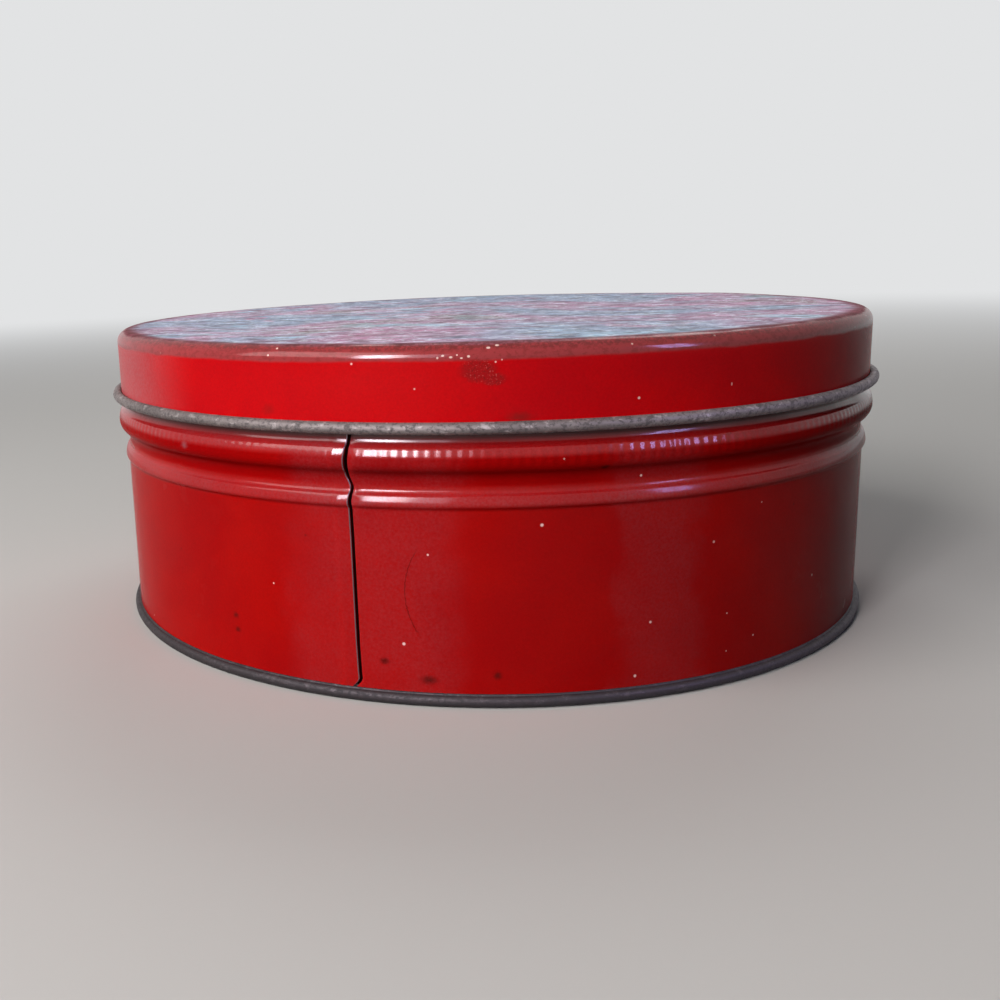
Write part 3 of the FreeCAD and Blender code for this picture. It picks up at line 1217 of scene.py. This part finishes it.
@dataclass
class Lid:
    """The pressed lid: flat top, round shoulder, skirt, and a hem curled outwards."""

    sheet: float = 0.3
    skirt: float = 99.3
    shoulder: float = 3.0
    curl_z: float = 58.8
    curl: float = 1.25
    curl_end: float = 125.0
    dish: float = 0.25
    steps: int = 896

    def outline(self) -> Outline:
        """The half section, down the inside, round the curl and up the outside."""
        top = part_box("lid")[1].z / MM
        flat, inside = self.skirt - self.shoulder, self.skirt - self.sheet
        spring = top - self.shoulder
        hem = (inside + self.curl, self.curl_z)
        line = Outline().to(0, top - self.sheet).to(flat, top - self.sheet, 8)
        line.arc((flat, spring), 90, 0, 4).to(inside, self.curl_z, 2)
        line.arc(hem, 180, 360 + self.curl_end, 20)
        turn = math.radians(self.curl_end)
        bore = self.curl - self.sheet
        line.to(hem[0] + bore * math.cos(turn), hem[1] + bore * math.sin(turn))
        line.arc(hem, self.curl_end + 360, 180, 10)
        line.to(self.skirt, spring, 8).arc((flat, spring), 0, 90, 10)
        return line.to(flat - 6, top, 4).to(flat - 30, top, 8).to(0, top, 8)

    def lower(self, place: Vector) -> float:
        """How far the pressed top lies under its highest level, in metres."""
        radius = away_from_axis(place)
        knock = math.exp(-((azimuth_of(place) - 36) / 9) ** 2) * ease(60, 90, radius)
        sag = self.dish + 0.12 * ripple(place, 17, 11) + 0.05 * ripple(place, 60, 12)
        sag += 0.1 * (1 - ease(30, 92, radius))
        return max(0.0, sag * (1 - knock)) * MM

    def build(self, enamel: bpy.types.Material, steel: bpy.types.Material) -> bpy.types.Object:
        """Turn the lid, then wave its top and knock its hem about a little.

        Args:
            enamel: The material of the top and side.
            steel: The bare material of the curled hem.

        Returns:
            The piece.
        """
        bm = lathe(self.outline(), [(360, self.steps)], start=75)
        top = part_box("lid")[1].z
        for vert in bm.verts:
            place = vert.co.copy()
            radius = away_from_axis(place)
            on_top = ease(top - 4 * MM, top - 0.4 * MM, place.z)
            vert.co.z -= self.lower(place) * on_top
            if place.z < (self.curl_z + 1.4) * MM and radius > self.skirt + 0.1:
                dent = 0.045 * ripple(place, 300, 13) + 0.06 * ripple(place, 50, 14) - 0.05
                widen(vert, 1 + min(0.0, dent) / radius)
            elif place.z < top - 3.2 * MM:
                widen(vert, 1 + 0.05 * ripple(place, 22, 15) / radius)
        for face in bm.faces:
            middle = face.calc_center_median()
            height = middle.z / MM
            bare = away_from_axis(middle) > self.skirt + 0.03 or height < self.curl_z
            face.material_index = int(bare and height < self.curl_z + 1.3)
        return finish_piece(bm, "tin_lid", "lid", [enamel, steel], crease=50)


# ---------------------------------------------------------------- studio


@dataclass(frozen=True)
class Lamp:
    """A soft box that faces the tin.

    Attributes:
        name: Its name.
        azimuth: Direction from the tin, in degrees from +X.
        elevation: Height above the horizon, in degrees.
        distance: How far off it stands, in metres.
        width: Its width in metres.
        height: Its height in metres.
        power: Its power in watts.
        tint: Its colour.
        shine: Whether it is only mirrored, as a far window is, and lights nothing else.
    """

    name: str
    azimuth: float
    elevation: float
    distance: float
    width: float
    height: float
    power: float
    tint: Colour
    shine: bool = False

    def build(self) -> None:
        """Hang the lamp."""
        data = bpy.data.lights.new(self.name, "AREA")
        data.shape = "RECTANGLE"
        data.size, data.size_y = self.width, self.height
        data.energy = self.power
        data.color = self.tint
        lamp = bpy.data.objects.new(self.name, data)
        a, e = math.radians(self.azimuth), math.radians(self.elevation)
        way = Vector((math.cos(a) * math.cos(e), math.sin(a) * math.cos(e), math.sin(e)))
        lamp.location = Vector((0, 0, 0.04)) + way * self.distance
        lamp.rotation_euler = way.to_track_quat("Z", "Y").to_euler()
        lamp.visible_diffuse = not self.shine
        bpy.context.scene.collection.objects.link(lamp)


@dataclass
class Studio:
    """Pale floor and surround, soft lamps and the camera.

    Attributes:
        lamps: The lamps.
        floor: The floor's colour as it is seen.
        bounce: The floor's colour for the light that it throws back.
        far: The colour that the floor fades into, and the surround's own.
        dim: The surround's colour as a light.
        dim_strength: Its strength as a light.
        eye: The camera's place in metres.
        yaw: How far the camera is turned to the right, in radians.
        pitch: How far it looks down, in radians.
        roll: How far it leans, in radians.
    """

    lamps: tuple[Lamp, ...] = (
        Lamp("window", -116, 19, 1.0, 0.2, 0.36, 5.0, (1.0, 0.95, 0.98)),
        Lamp("window_shine", -119, 19.5, 1.0, 0.17, 0.42, 7.2, (0.94, 0.86, 1.0), True),
        Lamp("curtain_shine", -106, 19.5, 1.0, 0.22, 0.42, 1.5, (0.94, 0.86, 1.0), True),
        Lamp("left_bank", -142, 34, 1.1, 0.8, 0.7, 8.3, (1.0, 0.985, 0.97)),
        Lamp("right_strip", -37, 20, 1.1, 0.07, 0.35, 0.25, (0.5, 0.6, 1.0)),
        Lamp("strip_shine", -37, 20, 1.1, 0.16, 0.42, 6.0, (0.5, 0.42, 1.0), True),
        Lamp("back_fill", 80, 45, 1.2, 0.9, 0.6, 5.2, (0.97, 0.98, 1.0)),
    )
    floor: Colour = paint(206, 204, 200)
    bounce: Colour = paint(96, 94, 92)
    far: Colour = paint(226, 227, 228)
    dim: Colour = paint(228, 232, 240)
    dim_strength: float = 0.018
    eye: tuple[float, float, float] = (0.0, -0.32184, 0.0945)
    yaw: float = -0.1191
    pitch: float = 0.2191
    roll: float = -0.0389

    def build_floor(self) -> None:
        """Lay the floor, which fades into the surround far off."""
        bm = bmesh.new()
        bmesh.ops.create_circle(bm, cap_ends=True, segments=96, radius=6.0)
        mesh = bpy.data.meshes.new("floor")
        bm.to_mesh(mesh)
        bm.free()
        material = bpy.data.materials.new("floor")
        material.use_nodes = True
        material.node_tree.nodes.clear()
        w = Wiring(material.node_tree)
        where = w.add("TexCoord").outputs["Object"]
        seen = w.backdrop_rays()
        lit = w.add("BsdfPrincipled", {"Base Color": w.mix(seen, self.bounce, self.floor),
                                       "Roughness": 1.0, "Specular IOR Level": 0.0})
        glow = w.add("Emission", {"Color": self.far, "Strength": 1.0})
        far = w.times(w.spread(w.length(where), 0.35, 1.6), seen)
        both = w.add("MixShader", {0: far, 1: lit.outputs[0], 2: glow.outputs[0]})
        w.add("OutputMaterial", {"Surface": both.outputs[0]})
        mesh.materials.append(material)
        floor = bpy.data.objects.new("floor", mesh)
        floor.location.z = CAD_BOX[0].z - 0.0001
        bpy.context.scene.collection.objects.link(floor)

    def build_world(self) -> None:
        """Make the surround: dim for lighting, pale where it is seen or mirrored."""
        world = bpy.data.worlds.new("surround")
        bpy.context.scene.world = world
        world.use_nodes = True
        world.node_tree.nodes.clear()
        w = Wiring(world.node_tree)
        dim = w.add("Background", {"Color": self.dim, "Strength": self.dim_strength})
        pale = w.add("Background", {"Color": self.far, "Strength": 1.0})
        both = w.add("MixShader", {0: w.backdrop_rays(), 1: dim.outputs[0],
                                   2: pale.outputs[0]})
        w.add("OutputWorld", {"Surface": both.outputs[0]})

    def build_camera(self) -> None:
        """Set the camera close in front of the tin, looking slightly down on it."""
        data = bpy.data.cameras.new("camera")
        data.sensor_width = 36.0
        data.lens = 41.006
        data.shift_x = 0.15
        data.clip_start, data.clip_end = 0.01, 50.0
        camera = bpy.data.objects.new("camera", data)
        level = math.cos(self.pitch)
        ahead = Vector((math.sin(self.yaw) * level, math.cos(self.yaw) * level,
                        -math.sin(self.pitch)))
        side = Vector((math.cos(self.yaw), -math.sin(self.yaw), 0))
        up = side.cross(ahead)
        right = side * math.cos(self.roll) + up * math.sin(self.roll)
        over = up * math.cos(self.roll) - side * math.sin(self.roll)
        turn = Matrix((right, over, -ahead)).transposed()
        camera.matrix_world = Matrix.Translation(self.eye) @ turn.to_4x4()
        bpy.context.scene.collection.objects.link(camera)
        bpy.context.scene.camera = camera

    def build(self) -> None:
        """Set up everything round the tin."""
        bpy.context.scene.view_settings.view_transform = "Standard"
        self.build_floor()
        self.build_world()
        self.build_camera()
        for lamp in self.lamps:
            lamp.build()
            log.info("lamp %s", lamp.name)


def main() -> None:
    """Build the tin from the ground up, then the studio round it."""
    logging.basicConfig(level=logging.INFO, format="%(name)s %(message)s")
    slots = {m["slot"] for m in frame["record"]["materials"]}
    log.info("material slots: %s", ", ".join(sorted(slots)))
    tarnished = Steel("base_steel", plain=paint(49, 41, 43), dark=paint(18, 13, 15),
                      bright=paint(84, 75, 78), shine=0.6, floor_shade=1.0)
    BaseEnd().build(tarnished.build())
    Body().build(BodyPaint("body_enamel").build())
    Lid().build(LidPaint("lid_enamel").build(), Steel("hem_steel").build())
    Studio().build()


if __name__ == "__main__":
    main()
